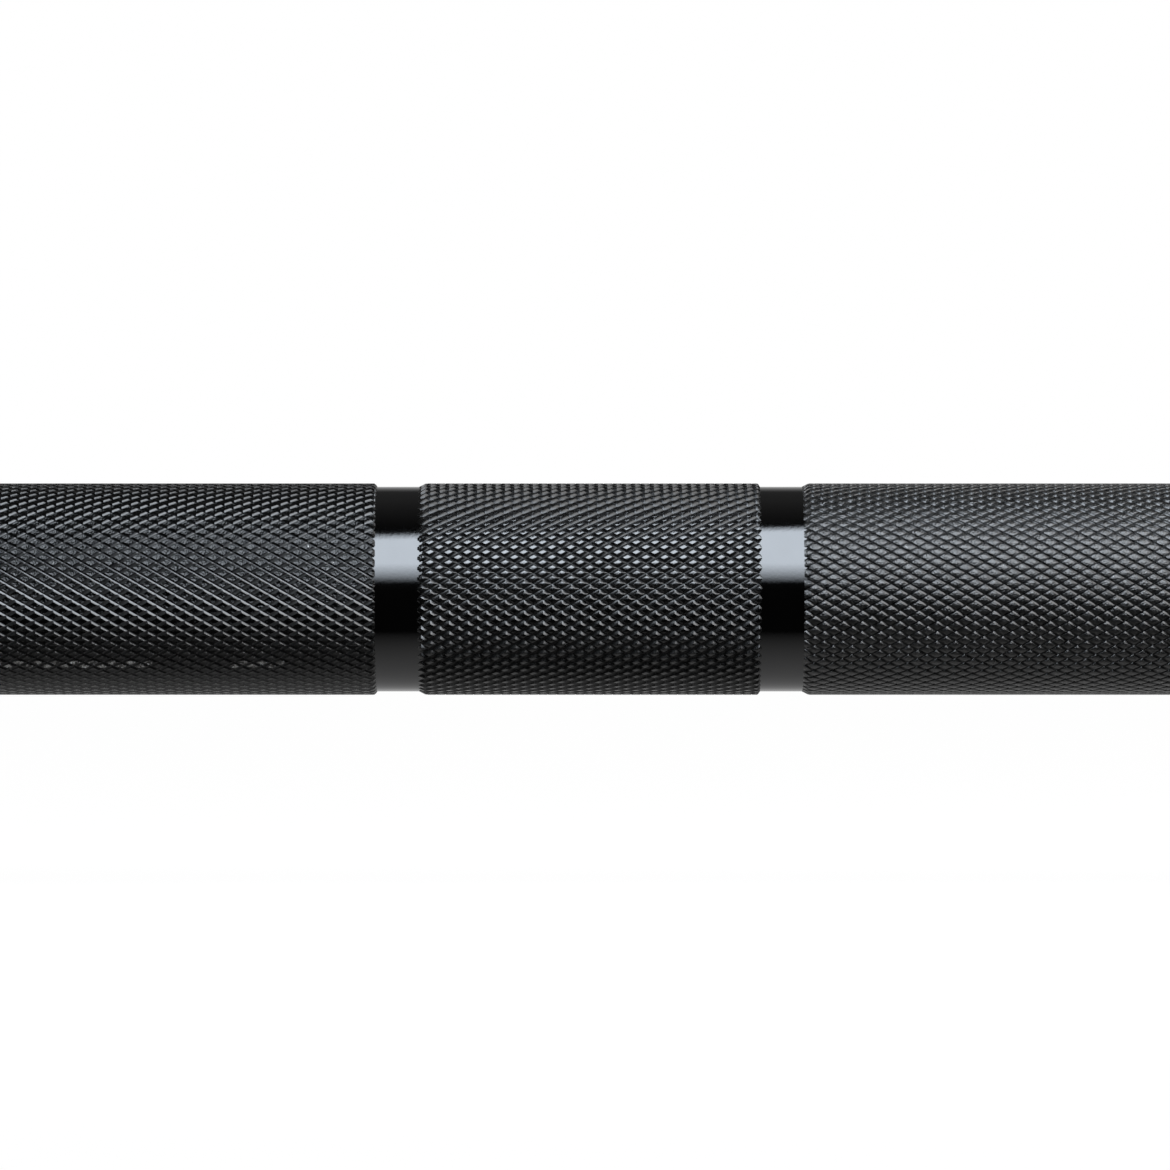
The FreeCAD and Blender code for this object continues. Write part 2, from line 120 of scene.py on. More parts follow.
# %% Helpers: turn an outline about the bar
TURN_STEPS = 160
ROUNDING_STEPS = 3
SHARP_DEGREES = 35
SAME_PLACE = 1e-7  # metres


def add_piece(name, bm, sharp_degrees=SHARP_DEGREES):
    """Makes an object of a mesh, smooth apart from its sharp edges."""
    bmesh.ops.recalc_face_normals(bm, faces=bm.faces)
    mesh = bpy.data.meshes.new(name)
    bm.to_mesh(mesh)
    bm.free()
    mesh.shade_smooth()
    mesh.set_sharp_from_angle(angle=math.radians(sharp_degrees))
    piece = bpy.data.objects.new(name, mesh)
    bpy.context.scene.collection.objects.link(piece)
    return piece


def turn_outline(bm, outline, rounding=0.0):
    """Spins a closed outline of (place along the bar, radius) points into the mesh."""
    wire = bmesh.new()
    points = [wire.verts.new((x, 0, r)) for x, r in outline]
    for here, there in zip(points, points[1:] + points[:1]):
        wire.edges.new((here, there))
    if rounding:
        bmesh.ops.bevel(
            wire, geom=[v for v in wire.verts if v.co.z > SAME_PLACE], offset=rounding,
            segments=ROUNDING_STEPS, profile=0.5, affect="VERTICES", clamp_overlap=True,
        )
    bmesh.ops.spin(
        wire, geom=wire.verts[:] + wire.edges[:], axis=(1, 0, 0), cent=(0, 0, 0),
        angle=math.tau, steps=TURN_STEPS, use_merge=True,
    )
    bmesh.ops.remove_doubles(wire, verts=wire.verts[:], dist=SAME_PLACE)
    scratch = bpy.data.meshes.new("scratch")
    wire.to_mesh(scratch)
    wire.free()
    bm.from_mesh(scratch)
    bpy.data.meshes.remove(scratch)


def turned(name, outline, rounding):
    """One turned piece with rounded edges."""
    bm = bmesh.new()
    turn_outline(bm, outline, rounding)
    return add_piece(name, bm)


def other_side(piece, name):
    """The same piece on the left end: the right one turned half a turn about Z."""
    twin = bpy.data.objects.new(name, piece.data)
    twin.matrix_world = Matrix.Rotation(math.pi, 4, "Z")
    bpy.context.scene.collection.objects.link(twin)
    return twin


# %% [markdown]
# ## The smooth stretches of the shaft
# Between and beyond the knurled zones the shaft is plain: the long middle, the four ring marks, and
# the ends that carry on under the sleeves. One outline could hold them all, but the knurl would
# then cover most of it, so each stretch is a turned plug of its own, and they go into one piece.

# %% Smooth stretches of the shaft
SHOULDER = 663 * MM
JOURNAL_R = 12.5 * MM
SNAP_IN, SNAP_OUT = 1078.05 * MM, 1079.25 * MM
SNAP_GROOVE_R = 11.95 * MM
END_CHAMFER = 1 * MM

smooth = bmesh.new()
turn_outline(
    smooth,
    [(-KNURL_START, 0), (-KNURL_START, PLAIN_R), (KNURL_START, PLAIN_R), (KNURL_START, 0)],
)
tail = [
    (KNURL_END, 0), (KNURL_END, PLAIN_R), (SHOULDER, PLAIN_R), (SHOULDER, JOURNAL_R),
    (SNAP_IN, JOURNAL_R), (SNAP_IN, SNAP_GROOVE_R), (SNAP_OUT, SNAP_GROOVE_R),
    (SNAP_OUT, JOURNAL_R), (SHAFT_END - END_CHAMFER, JOURNAL_R),
    (SHAFT_END, JOURNAL_R - END_CHAMFER), (SHAFT_END, 0),
]
for hand in (1, -1):
    for place in (INNER_MARK, OUTER_MARK):
        start, end = hand * (place - HALF_MARK), hand * (place + HALF_MARK)
        turn_outline(smooth, [(start, 0), (start, MARK_R), (end, MARK_R), (end, 0)])
    turn_outline(smooth, [(hand * x, r) for x, r in tail])
shaft_smooth = add_piece("shaft_smooth", smooth)
print("smooth stretches:", len(shaft_smooth.data.polygons), "faces")

# %% [markdown]
# ## The knurl
# Knurling rolls two sets of slanting grooves into the steel, one of each hand, and leaves diamonds
# standing between them. A bump texture would do from far off, but here the diamonds fill the
# picture and break the bar's edge, so they are real. Every point of a knurl has two phases, one
# across each set of grooves, and its height is the lower of two groove profiles. That lower-of-two
# gives flat-topped pyramids with clean hips.
# The measured pitch is 2.5 mm along the bar with 62 diamonds round it, and the wheel sank in
# differently in each zone. In the inner zone the two sets are as wide as each other, the falling
# one is deeper, and the tops didn't quite fill, so they are slightly dished. In the middle zone
# deep grooves leave small, full tops. In the outer zone narrow rising grooves cross wider and
# shallower falling ones, and the tops between them are well rounded.

# %% Knurl settings for each zone
from collections import namedtuple

AXIAL_PITCH = 2.484 * MM
DIAMONDS_ROUND = 62
ROUND_PITCH = math.tau * KNURL_R / DIAMONDS_ROUND
GROOVE_PITCH = 1 / math.hypot(1 / AXIAL_PITCH, 1 / ROUND_PITCH)

# land: the share of the pitch that is left on top
# depth: from the crests to the groove's floor
# crown: how far the land's edges lean outward, in degrees, or inward where the land is dished
# hollow: 1 for a round floor, 0 for straight flanks, below 0 for flanks that steepen downward
Grooves = namedtuple("Grooves", "land depth crown hollow")
Zone = namedtuple("Zone", "start end falling rising")
knurl_zones = {
    "inner": Zone(
        KNURL_START, INNER_MARK - HALF_MARK,
        falling=Grooves(land=0.58, depth=0.20 * MM, crown=-9, hollow=0.4),
        rising=Grooves(land=0.58, depth=0.16 * MM, crown=-9, hollow=0.5),
    ),
    "middle": Zone(
        INNER_MARK + HALF_MARK, OUTER_MARK - HALF_MARK,
        falling=Grooves(land=0.50, depth=0.28 * MM, crown=8, hollow=-0.15),
        rising=Grooves(land=0.36, depth=0.36 * MM, crown=6, hollow=0.72),
    ),
    "outer": Zone(
        OUTER_MARK + HALF_MARK, KNURL_END,
        falling=Grooves(land=0.66, depth=0.16 * MM, crown=16, hollow=0.4),
        rising=Grooves(land=0.78, depth=0.22 * MM, crown=14, hollow=0.0),
    ),
}
print("across a groove:", round(GROOVE_PITCH / MM, 3), "mm")

# %% Helpers: phases and heights of the knurl


def phases(x, angle):
    """How many falling and rising grooves lie between the origin and a place on the bar."""
    turns = DIAMONDS_ROUND * angle / math.tau
    return x / AXIAL_PITCH + turns, x / AXIAL_PITCH - turns


def bar_place(falling, rising):
    """The other way round: place along the bar and angle from the two phases."""
    return AXIAL_PITCH / 2 * (falling + rising), math.pi / DIAMONDS_ROUND * (falling - rising)


def groove_height(phase, grooves):
    """Height against the crests: 0 on a land, then straight down to the floor at whole phases."""
    from_middle = np.abs(phase - np.floor(phase) - 0.5)
    down_flank = (from_middle - grooves.land / 2) / (0.5 - grooves.land / 2)
    return -grooves.depth * np.clip(down_flank, 0, 1)


def knurl_height(falling, rising, zone):
    """The lower of the two sets of grooves."""
    return np.minimum(groove_height(falling, zone.falling), groove_height(rising, zone.rising))


# %% Helpers: the faces of a diamond
LINES = 3  # a groove's floor and the two edges of its land


def line_places(grooves):
    """Where those lines lie across one pitch."""
    return np.array([0, (1 - grooves.land) / 2, (1 + grooves.land) / 2])


def land_dish(zone):
    """How deep the lands of a zone are dished."""
    lean = math.tan(math.radians(-zone.falling.crown))
    return max(lean * zone.falling.land * GROOVE_PITCH / 4, 0)


def diamond_faces(corner, dish_floor=None):
    """The land, the four flanks, and four corners split along the hip between two flanks."""
    faces = []
    for a in range(LINES):
        for b in range(LINES):
            ring = [
                corner[:, a, b], corner[:, a + 1, b],
                corner[:, a + 1, b + 1], corner[:, a, b + 1],
            ]
            cuts = [(0, 1, 2, 3)]
            if a != 1 and b != 1:
                cuts = [(0, 1, 2), (0, 2, 3)] if a == b else [(0, 1, 3), (1, 2, 3)]
            if a == 1 and b == 1 and dish_floor is not None:
                ring.append(dish_floor)
                cuts = [(0, 1, 4), (1, 2, 4), (2, 3, 4), (3, 0, 4)]
            for cut in cuts:
                faces += np.stack([ring[c] for c in cut], axis=1).tolist()
    return faces


# %% Helpers: the mesh of diamonds
SPARE_BEFORE, SPARE_AFTER = 4, 3  # half pitches beyond a zone's ends, cut off later


def on_bar(x, angle, radius):
    """Points from their places along the bar, angles round it and radii."""
    return np.stack([x, -radius * np.cos(angle), radius * np.sin(angle)], axis=1)


def knurl_grid(zone):
    """Corner points and faces of the diamonds, a little beyond both ends of a zone."""
    # A diamond is known by its two whole phases. Their sum runs along the bar and their
    # difference round it.
    first = math.floor(2 * zone.start / AXIAL_PITCH) - SPARE_BEFORE
    last = math.ceil(2 * zone.end / AXIAL_PITCH) + SPARE_AFTER
    along, across = np.meshgrid(
        np.arange(first, last), np.arange(2 * DIAMONDS_ROUND), indexing="ij"
    )
    real = (along + across) % 2 == 0
    whole_falling = (along[real] + across[real]) // 2
    whole_rising = (along[real] - across[real]) // 2

    # The lines that bound lands and grooves are counted in the same way. Two crossing lines make a
    # point, and each point gets one key, however many diamonds share it.
    step = np.arange(LINES + 1)
    none = 0 * step
    falling_line = LINES * whole_falling[:, None, None] + step[:, None] + none
    rising_line = LINES * whole_rising[:, None, None] + none[:, None] + step
    around = 2 * LINES * DIAMONDS_ROUND
    key = (falling_line + rising_line) * around + (falling_line - rising_line) % around
    keys, corner = np.unique(key, return_inverse=True)
    corner = corner.reshape(key.shape)
    total, turn = keys // around, keys % around
    falling_line, rising_line = (total + turn) // 2, (total - turn) // 2
    falling = falling_line // LINES + line_places(zone.falling)[falling_line % LINES]
    rising = rising_line // LINES + line_places(zone.rising)[rising_line % LINES]
    points = on_bar(*bar_place(falling, rising), KNURL_R + knurl_height(falling, rising, zone))

    dish = land_dish(zone)
    if not dish:
        return points, diamond_faces(corner)
    dish_points = on_bar(*bar_place(whole_falling + 0.5, whole_rising + 0.5), KNURL_R - dish)
    dish_floor = len(points) + np.arange(len(dish_points))
    return np.concatenate([points, dish_points]), diamond_faces(corner, dish_floor)


# %% [markdown]
# A zone ends in one of two ways. Beside a ring mark the bar was turned down before it was rolled,
# so the whole relief sinks into the mark, and only a row of small teeth stands at its foot. Towards
# the plain shaft it fades out. The mesh is sliced with Blender's bisect, cut finer near the end,
# and shaped there by the same height function. A fan of faces to the axis closes each end, so each
# zone is a solid plug like the smooth stretches.

# %% Helpers: shape and close a zone's ends
RUN_IN = 0.9 * MM
RUN_OUT = 0.3 * MM
TEETH = 0.3 * MM
END_CUTS = 2
CUT_SNAP = 1e-8  # metres
TOUCH = 1e-6  # metres


def slice_at(bm, x, drop):
    """Cuts the mesh across the bar and throws away what lies before it (-1) or beyond it (1)."""
    near = [f for f in bm.faces if abs(f.calc_center_bounds().x - x) < AXIAL_PITCH]
    geom = list({v for f in near for v in f.verts}) + list({e for f in near for e in f.edges})
    bmesh.ops.bisect_plane(
        bm, geom=geom + near, dist=CUT_SNAP, plane_co=(x, 0, 0), plane_no=(1, 0, 0)
    )
    away = [v for v in bm.verts if (v.co.x - x) * drop > SAME_PLACE]
    bmesh.ops.delete(bm, geom=away, context="VERTS")


def end_radius(height, share, beside_mark):
    """Radius near an end, from a share of 0 at the end itself to 1 where the full knurl begins."""
    if not beside_mark:
        return PLAIN_R + (KNURL_R + height - PLAIN_R) * share
    return max(KNURL_R + height - (KNURL_R - MARK_R) * (1 - share), MARK_R)


def shape_end(bm, zone, wall, inward, beside_mark, run):
    """Refines the mesh near one end and moves its points to the end's shape."""
    deepest = max(zone.falling.depth, zone.rising.depth)
    near = [f for f in bm.faces if (f.calc_center_bounds().x - wall) * inward < run + TEETH]
    edges = list({e for f in near for e in f.edges})
    bmesh.ops.subdivide_edges(bm, edges=edges, cuts=END_CUTS, use_grid_fill=True)
    for v in bm.verts:
        inside = (v.co.x - wall) * inward
        if inside < 2 * run + TEETH:
            angle = math.atan2(v.co.z, -v.co.y)
            height = knurl_height(*phases(v.co.x, angle), zone)
            share = (inside + TEETH * height / deepest) / run
            radius = end_radius(height, min(max(share, 0), 1), beside_mark)
            v.co.y, v.co.z = -radius * math.cos(angle), radius * math.sin(angle)


def close_end(bm, x):
    """Fills one end with a fan of faces to the bar's axis."""
    rim = [e for e in bm.edges if e.is_boundary and all(abs(v.co.x - x) < TOUCH for v in e.verts)]
    middle = bm.verts.new((x, 0, 0))
    for e in rim:
        bm.faces.new((*e.verts, middle))
    return len(rim)


# %% [markdown]
# Rolled diamonds aren't facets: their lands are crowned or dished, and their flanks curve into the
# groove. Modelling that roundness would take ten times the faces, so the mesh keeps its few faces
# and gets its own corner normals instead. A flank's normals lean by its own slope and a land's by
# its crown. The flat ends keep their face normals. Numpy works on all the corners at once.

# %% Helpers: the corners of a mesh
Corners = namedtuple("Corners", "face first place angle radius middle middle_angle")


def mesh_array(items, field, width, kind=np.float64):
    """One field of mesh items as an array."""
    values = np.empty(len(items) * width, dtype=kind)
    items.foreach_get(field, values)
    return values.reshape(-1, width) if width > 1 else values


def angle_round(places):
    """Angles of points round the bar, from the side that faces the camera."""
    return np.arctan2(places[:, 2], -places[:, 1])


def read_corners(mesh):
    """The corners of all faces: whose they are, where they lie, and the middles of their faces."""
    sizes = mesh_array(mesh.polygons, "loop_total", 1, np.int32)
    face = np.repeat(np.arange(len(sizes)), sizes)
    first = np.concatenate([[0], np.cumsum(sizes)[:-1]])
    points = mesh_array(mesh.vertices, "co", 3)
    place = points[mesh_array(mesh.loops, "vertex_index", 1, np.int32)]
    radius = np.hypot(place[:, 1], place[:, 2])
    middle = mesh_array(mesh.polygons, "center", 3)[face]
    middle_angle = angle_round(middle)
    # An angle is counted near to that of its face, so that no face is torn at half a turn.
    angle = middle_angle + (angle_round(place) - middle_angle + math.pi) % math.tau - math.pi
    return Corners(face, first, place, angle, radius, middle, middle_angle)


# %% Helpers: the slopes of rounded diamonds


def groove_lean(offset, own, other, grooves, land_face):
    """Slope across one set of grooves, at an offset of -0.5 to 0.5 from the middle of a land.

    Where this set is the lower one the corner is on its flank. Elsewhere it only crowns the land,
    or dishes it if the whole face is land."""
    edge = grooves.land / 2
    on_flank = own < other
    offset = np.where(on_flank, offset, np.clip(offset, -edge, edge))
    away = np.abs(offset)
    crown = np.where(land_face, 1, grooves.crown > 0) * math.tan(math.radians(grooves.crown))
    mean = grooves.depth / ((0.5 - edge) * GROOVE_PITCH)
    down_flank = (away - edge) / (0.5 - edge)
    flank = mean * (1 + grooves.hollow * (1 - 2 * down_flank))
    return np.sign(offset) * np.where(on_flank, flank, crown * away / edge)


def corner_leans(corners, zone):
    """Slopes across the falling and the rising grooves at each corner."""
    sets = zone.falling, zone.rising
    face_phases = phases(corners.middle[:, 0], corners.middle_angle)
    face_heights = [groove_height(phase, grooves) for phase, grooves in zip(face_phases, sets)]
    corner_phases = phases(corners.place[:, 0], corners.angle)
    offsets = [phase - np.floor(whole) - 0.5 for phase, whole in zip(corner_phases, face_phases)]
    heights = [groove_height(offset + 0.5, grooves) for offset, grooves in zip(offsets, sets)]
    # Where the two sets are level, a corner belongs to the lower set of its face.
    level = np.abs(heights[0] - heights[1]) < SAME_PLACE
    falling, rising = (np.where(level, *pair) for pair in zip(face_heights, heights))
    land_face = face_heights[0] == face_heights[1]
    return (
        groove_lean(offsets[0], falling, rising, zone.falling, land_face),
        groove_lean(offsets[1], rising, falling, zone.rising, land_face),
    )


# %% Helper: normals of rounded diamonds
SLOPE_SHADING = 0.4  # the share of a zone's sloping ends that the normals show


def rounded_normals(corners, zone, outward):
    """Normals that lean from straight outward with the diamonds and with the zone's ends."""
    falling, rising = corner_leans(corners, zone)
    upward = np.stack([outward[:, 0], outward[:, 2], -outward[:, 1]], axis=1)
    sink = KNURL_R - MARK_R
    from_start, to_end = corners.middle[:, 0] - zone.start, zone.end - corners.middle[:, 0]
    sloping_ends = SLOPE_SHADING * (
        np.where(from_start < RUN_IN, -sink / RUN_IN, 0)
        + np.where(to_end < RUN_OUT, sink / RUN_OUT, 0)
    )
    along = (falling + rising) * GROOVE_PITCH / AXIAL_PITCH + sloping_ends
    around = (falling - rising) * GROOVE_PITCH / ROUND_PITCH
    normal = outward + along[:, None] * np.array([1.0, 0, 0]) + around[:, None] * upward
    return normal / np.linalg.norm(normal, axis=1)[:, None]


# %% [markdown]
# Two more things go on the mesh. Between the teeth beside a ring mark lies the mark's own smooth
# coat, so those faces get a second material. And the two phases are kept as a UV map, so that the
# finish can tell lands from flanks. A second map beside it, OFBake, runs along the zone and round
# the bar.

# %% Helper: normals, materials and maps of a knurled mesh


def round_over(mesh, zone):
    """Gives a knurled mesh its corner normals, its second material and its maps."""
    corners = read_corners(mesh)
    angle = corners.angle
    outward = np.stack([0 * angle, -np.cos(angle), np.sin(angle)], axis=1)
    highest = np.maximum.reduceat(corners.radius, corners.first)[corners.face]
    lowest = np.minimum.reduceat(corners.radius, corners.first)[corners.face]
    end_face = lowest < MARK_R / 2
    on_mark = (highest < MARK_R + TOUCH) & ~end_face
    mesh.polygons.foreach_set("material_index", on_mark[corners.first].astype(np.int32))

    normal = np.where(on_mark[:, None], outward, rounded_normals(corners, zone, outward))
    flat = mesh_array(mesh.polygons, "normal", 3)[corners.face]
    mesh.normals_split_custom_set(np.where(end_face[:, None], flat, normal).tolist())

    along = (corners.place[:, 0] - zone.start) / (zone.end - zone.start)
    for name, (u, v) in (
        ("knurl_phase", phases(corners.place[:, 0], angle)),
        ("OFBake", (along, angle / (2 * math.tau) + 0.5)),
    ):
        layer = mesh.uv_layers.new(name=name)
        layer.data.foreach_set("uv", np.stack([u, v], axis=1).astype(np.float32).ravel())


# %% [markdown]
# With the helpers ready, each zone of the right half is rolled once: diamonds, ends, normals. A bar
# is the same turned end for end, so the left half uses the same meshes turned half a turn.

# %% Roll the knurl


def knurled(name, zone):
    """One knurled zone of the shaft as a closed piece."""
    points, faces = knurl_grid(zone)
    mesh = bpy.data.meshes.new(name)
    mesh.from_pydata(points, [], faces)
    bm = bmesh.new()
    bm.from_mesh(mesh)
    bpy.data.meshes.remove(mesh)
    slice_at(bm, zone.start, drop=-1)
    slice_at(bm, zone.end, drop=1)
    shape_end(bm, zone, zone.start, 1, zone.start > KNURL_START, RUN_IN)
    shape_end(bm, zone, zone.end, -1, zone.end < KNURL_END, RUN_OUT)
    rims = close_end(bm, zone.start), close_end(bm, zone.end)
    piece = add_piece(name, bm, sharp_degrees=180)
    round_over(piece.data, zone)
    print(name, len(piece.data.polygons), "faces, rims of", rims)
    return piece


knurl_pieces = {}
for zone_name, zone in knurl_zones.items():
    right = knurled(f"right_{zone_name}_knurl", zone)
    knurl_pieces[zone_name] = (right, other_side(right, f"left_{zone_name}_knurl"))

shaft_pieces = [shaft_smooth] + [piece for pair in knurl_pieces.values() for piece in pair]
for piece in shaft_pieces:
    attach(piece, "shaft")
    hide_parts("shaft")

# %% [markdown]
# ## Sleeves, collars and end caps
# The plates slide on a 50 mm sleeve and stop against a collar. Both are turned and chromed, with
# their edges just broken. The sleeve is hollow: its bore carries the bearings, and its outer end
# has a seat and a groove for the cap and its retaining ring. The same outlines as the solids are
# turned again here, finer and with rounded edges.

# %% Outline of the sleeve
GRIP_FACE = 655 * MM
INNER_SEAT_END = 713.8 * MM
OUTER_BEARING = 1027.25 * MM
CAP_SEAT = 1089.25 * MM
CAP_FACE = 1095.25 * MM
RING_OUT = 1097.1 * MM
SEAT_R = 16 * MM
RELIEF_R = 15 * MM
CAP_R = 20 * MM
CAP_GROOVE_R = 21.25 * MM
SLEEVE_R = 25 * MM
SLEEVE_CHAMFER = 2 * MM
ROOT_GROOVE = 1.5 * MM
ROOT_DEPTH = 0.5 * MM

root_end = COLLAR_FACE + ROOT_GROOVE
sleeve_outline = [
    (GRIP_FACE, SEAT_R), (INNER_SEAT_END, SEAT_R), (INNER_SEAT_END, RELIEF_R),
    (OUTER_BEARING, RELIEF_R), (OUTER_BEARING, SEAT_R), (CAP_SEAT, SEAT_R), (CAP_SEAT, CAP_R),
    (CAP_FACE, CAP_R), (CAP_FACE, CAP_GROOVE_R), (RING_OUT, CAP_GROOVE_R), (RING_OUT, CAP_R),
    (SLEEVE_END, CAP_R), (SLEEVE_END, SLEEVE_R - SLEEVE_CHAMFER),
    (SLEEVE_END - SLEEVE_CHAMFER, SLEEVE_R), (root_end, SLEEVE_R),
    (root_end, SLEEVE_R - ROOT_DEPTH), (COLLAR_FACE, SLEEVE_R - ROOT_DEPTH),
    (COLLAR_FACE, SLEEVE_R), (GRIP_FACE, SLEEVE_R),
]
print("sleeve outline:", len(sleeve_outline), "points")

# %% Outlines of the collar and the end cap
COLLAR_R = 38.985 * MM  # a hair under 39 mm: the fine collar stays inside the faceted solid's box
COLLAR_CHAMFER = 1.5 * MM
BAND_HALF = 4.5 * MM
BAND_DEPTH = 1.2 * MM
collar_middle = (GRIP_FACE + COLLAR_FACE) / 2
band_r = COLLAR_R - BAND_DEPTH
collar_outline = [
    (GRIP_FACE, SLEEVE_R), (GRIP_FACE, COLLAR_R - COLLAR_CHAMFER),
    (GRIP_FACE + COLLAR_CHAMFER, COLLAR_R), (collar_middle - BAND_HALF - BAND_DEPTH, COLLAR_R),
    (collar_middle - BAND_HALF, band_r), (collar_middle + BAND_HALF, band_r),
    (collar_middle + BAND_HALF + BAND_DEPTH, COLLAR_R), (COLLAR_FACE - COLLAR_CHAMFER, COLLAR_R),
    (COLLAR_FACE, COLLAR_R - COLLAR_CHAMFER), (COLLAR_FACE, SLEEVE_R),
]
CAP_RIM_R = 19.95 * MM
SPIGOT_R = 15.95 * MM
SPIGOT_END = 1085.25 * MM
BOSS_R = 12.5 * MM
BOSS_FACE = 1096.75 * MM
BOSS_CHAMFER = 0.8 * MM
cap_outline = [
    (SPIGOT_END, 0), (SPIGOT_END, SPIGOT_R), (CAP_SEAT, SPIGOT_R), (CAP_SEAT, CAP_RIM_R),
    (CAP_FACE, CAP_RIM_R), (CAP_FACE, BOSS_R), (BOSS_FACE - BOSS_CHAMFER, BOSS_R),
    (BOSS_FACE, BOSS_R - BOSS_CHAMFER), (BOSS_FACE, 0),
]
print("collar and cap outlines:", len(collar_outline), "and", len(cap_outline), "points")

# %% Turn them for both ends
SLEEVE_ROUNDING = 0.2 * MM
COLLAR_ROUNDING = 0.5 * MM
CAP_ROUNDING = 0.25 * MM

end_pieces = {}
for node, outline, rounding, slot in (
    ("sleeve_tube", sleeve_outline, SLEEVE_ROUNDING, "sleeve_chrome"),
    ("collar", collar_outline, COLLAR_ROUNDING, "collar_chrome"),
    ("end_cap", cap_outline, CAP_ROUNDING, "cap_coating"),
):
    right = turned(f"right_{node}_turned", outline, rounding)
    left = other_side(right, f"left_{node}_turned")
    end_pieces[node] = right
    for side, piece in (("right", right), ("left", left)):
        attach(piece, f"{side}_sleeve")
        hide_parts(f"{side}_{node}")
    print(node, len(right.data.polygons), "faces")

# %% [markdown]
# ## Finishes
# All the finishes share a few effects, so each effect is a node group with its own inputs: fine
# lines left by the lathe, cloudy variation, scratches along the bar where plates slide, and the
# parts of the knurl. A group gives only masks. The shader itself stays in each material.

# %% Helpers: place nodes


def feed(tree, socket, value):
    """Gives an input its value: another node's output, or a plain one."""
    if isinstance(value, bpy.types.NodeSocket):
        tree.links.new(value, socket)
    else:
        socket.default_value = value


def add_node(tree, kind, inputs, **settings):
    """One node, with its settings made first and its inputs fed after that."""
    node = tree.nodes.new(f"ShaderNode{kind}")
    for setting, choice in settings.items():
        setattr(node, setting, choice)
    for socket, value in inputs.items():
        feed(tree, node.inputs[socket], value)
    return node


def math_node(tree, operation, first, second=0.0):
    """One step of arithmetic on sockets or numbers."""
    return add_node(tree, "Math", {0: first, 1: second}, operation=operation).outputs[0]


def spread(tree, mask, low, high, from_low=0.3, from_high=0.7):
    """A mask turned into values from low to high. Noise seldom leaves the range of 0.3 to 0.7."""
    limits = {"From Min": from_low, "From Max": from_high, "To Min": low, "To Max": high}
    return add_node(tree, "MapRange", {"Value": mask, **limits}).outputs["Result"]


# %% Helpers: node groups


def new_group(name, inputs, outputs):
    """An empty shader node group, with what it is given and what it results in."""
    tree = bpy.data.node_groups.new(name, "ShaderNodeTree")
    for socket, default in inputs.items():
        added = tree.interface.new_socket(
            socket, in_out="INPUT", socket_type="NodeSocketFloat"
        )
        added.default_value = default
    for socket in outputs:
        tree.interface.new_socket(socket, in_out="OUTPUT", socket_type="NodeSocketFloat")
    given = tree.nodes.new("NodeGroupInput").outputs
    result = tree.nodes.new("NodeGroupOutput").inputs
    return tree, given, result


def stretched_noise(tree, scale, stretch, detail):
    """Noise in the piece's own coordinates, scaled by a factor along each axis."""
    place = add_node(tree, "TexCoord", {}).outputs["Object"]
    stretched = add_node(tree, "VectorMath", {0: place, 1: stretch}, operation="MULTIPLY")
    inputs = {"Vector": stretched.outputs[0], "Scale": scale, "Detail": detail}
    return add_node(tree, "TexNoise", inputs).outputs["Fac"]


# %% Effects: lathe lines, clouds and slide marks
ROUND_THE_BAR = (1, 0.02, 0.02)
EVEN = (1, 1, 1)
ALONG_THE_BAR = (0.06, 1, 1)
LINE_DETAIL = 2.0
STREAK_DETAIL = 4.0
STREAK_RANGE = 0.56, 0.72

lathe_lines, given, result = new_group("lathe_lines", {"Scale": 3000.0}, ["Lines"])
lines = stretched_noise(lathe_lines, given["Scale"], ROUND_THE_BAR, LINE_DETAIL)
feed(lathe_lines, result["Lines"], lines)

clouds, given, result = new_group("clouds", {"Scale": 60.0, "Detail": 5.0}, ["Cloud"])
cloud = stretched_noise(clouds, given["Scale"], EVEN, given["Detail"])
feed(clouds, result["Cloud"], cloud)

slide_marks, given, result = new_group("slide_marks", {"Scale": 400.0, "Amount": 0.5}, ["Marks"])
streak = stretched_noise(slide_marks, given["Scale"], ALONG_THE_BAR, STREAK_DETAIL)
marks = spread(slide_marks, streak, 0, 1, *STREAK_RANGE)
feed(slide_marks, result["Marks"], math_node(slide_marks, "MULTIPLY", marks, given["Amount"]))
print("effects:", lathe_lines.name, clouds.name, slide_marks.name)

# %% Effect: the lands and flanks of the knurl, from its phase map
EDGE_SOFTNESS = 0.06

knurl_parts, given, result = new_group(
    "knurl_parts",
    {"Falling land": 0.4, "Rising land": 0.4, "Falling depth": 0.3, "Rising depth": 0.3},
    ["Land", "Falling flank"],
)
phase_map = add_node(knurl_parts, "UVMap", {}, uv_map="knurl_phase")
phase = add_node(knurl_parts, "SeparateXYZ", {0: phase_map.outputs["UV"]}).outputs
insides, depths = [], []
for axis, hand in (("X", "Falling"), ("Y", "Rising")):
    part = math_node(knurl_parts, "FRACT", phase[axis])
    off_middle = math_node(knurl_parts, "SUBTRACT", part, 0.5)
    from_middle = math_node(knurl_parts, "ABSOLUTE", off_middle)
    half_land = math_node(knurl_parts, "MULTIPLY", given[f"{hand} land"], 0.5)
    inside = math_node(knurl_parts, "SUBTRACT", half_land, from_middle)
    insides.append(spread(knurl_parts, inside, 0, 1, -EDGE_SOFTNESS, EDGE_SOFTNESS))
    depths.append(spread(knurl_parts, from_middle, 0, given[f"{hand} depth"], half_land, 0.5))
feed(knurl_parts, result["Land"], math_node(knurl_parts, "MINIMUM", *insides))
feed(knurl_parts, result["Falling flank"], math_node(knurl_parts, "GREATER_THAN", *depths))
print("effect:", knurl_parts.name)

# %% Helpers: start a material, place effects in it and dress its shader


def new_material(name, metallic):
    """A material with one Principled shader, and its node tree."""
    material = bpy.data.materials.new(name)
    material.use_nodes = True
    material.node_tree.nodes["Principled BSDF"].inputs["Metallic"].default_value = metallic
    return material, material.node_tree


